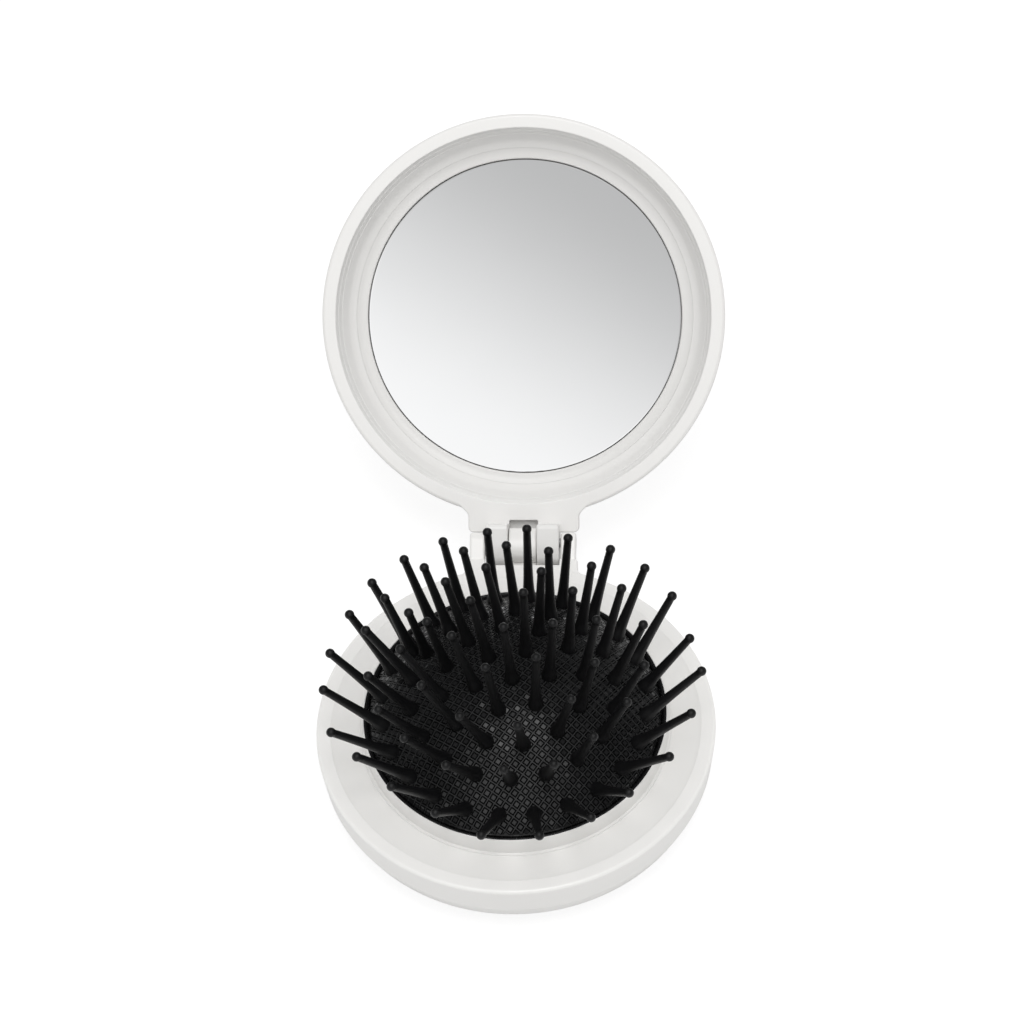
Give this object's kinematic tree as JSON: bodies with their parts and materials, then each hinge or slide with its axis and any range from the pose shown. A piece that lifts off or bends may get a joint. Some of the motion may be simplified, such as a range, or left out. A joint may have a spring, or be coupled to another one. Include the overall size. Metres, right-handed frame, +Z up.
{
  "type": "pop-up compact hairbrush with mirror",
  "caption": "Round pocket hairbrush that pops up from its case, with a mirror recessed in the hinged lid.",
  "frame": {"origin": "on the flat foot ring, 20 mm behind the base's centre line, towards the hinge", "axes": "+Z up, +Y from the brush towards the hinge and the open lid, +X to the right seen from the front"},
  "size_m": [0.07, 0.136, 0.0579],
  "materials": {
    "white_plastic": "white moulded plastic with a soft satin gloss",
    "black_rubber": "black moulded rubber with a fine waffle grain",
    "black_nylon": "black nylon, smooth",
    "silvered_glass": "silvered flat glass with a fine ground edge",
    "hinge_steel": "plain drawn steel wire",
    "foam_tape": "thin white adhesive foam"
  },
  "bodies": {
    "base": {"base_shell": "white_plastic", "brush_collar": "white_plastic", "cushion_retainer": "white_plastic", "hinge_pin": "hinge_steel", "rubber_cushion": "black_rubber"},
    "lid": {"lid_frame": "white_plastic", "lid_cover": "white_plastic", "mirror_bezel": "white_plastic", "mirror_glass": "silvered_glass", "mirror_tape": "foam_tape"},
    "brush_centre": {"pin_centre": "black_nylon", "push_plate": "white_plastic"},
    "brush_ring_1": {"pin_ring_1": "black_nylon"},
    "brush_ring_2": {"pin_ring_2": "black_nylon"},
    "brush_ring_3": {"pin_ring_3": "black_nylon"},
    "brush_ring_4": {"pin_ring_4": "black_nylon"}
  },
  "joints": [
    {"name": "lid_hinge", "type": "hinge", "parent": "base", "child": "lid", "pos_m": [0, 0.0194, 0.0126], "axis": [1, 0, 0], "range_deg": [0, 141.3]},
    {"name": "brush_slide", "type": "slide", "parent": "base", "child": "brush_centre", "axis": [0, 0, 1], "range_m": [-0.0226, 0], "deforming": ["rubber_cushion"]},
    {"name": "ring_1_slide", "type": "slide", "parent": "base", "child": "brush_ring_1", "axis": [0, 0, 1], "range_m": [-0.0222, 0]},
    {"name": "ring_2_slide", "type": "slide", "parent": "base", "child": "brush_ring_2", "axis": [0, 0, 1], "range_m": [-0.0202, 0], "deforming": ["pin_ring_2"]},
    {"name": "ring_3_slide", "type": "slide", "parent": "base", "child": "brush_ring_3", "axis": [0, 0, 1], "range_m": [-0.0169, 0], "deforming": ["pin_ring_3"]},
    {"name": "ring_4_slide", "type": "slide", "parent": "base", "child": "brush_ring_4", "axis": [0, 0, 1], "range_m": [-0.0125, 0], "deforming": ["pin_ring_4"]}
  ],
  "couplings": [
    {"joint": "brush_slide", "follows": "lid_hinge", "m_per_rad": -0.00916},
    {"joint": "ring_1_slide", "follows": "lid_hinge", "m_per_rad": -0.009},
    {"joint": "ring_2_slide", "follows": "lid_hinge", "m_per_rad": -0.00819},
    {"joint": "ring_3_slide", "follows": "lid_hinge", "m_per_rad": -0.00685},
    {"joint": "ring_4_slide", "follows": "lid_hinge", "m_per_rad": -0.00506}
  ]
}
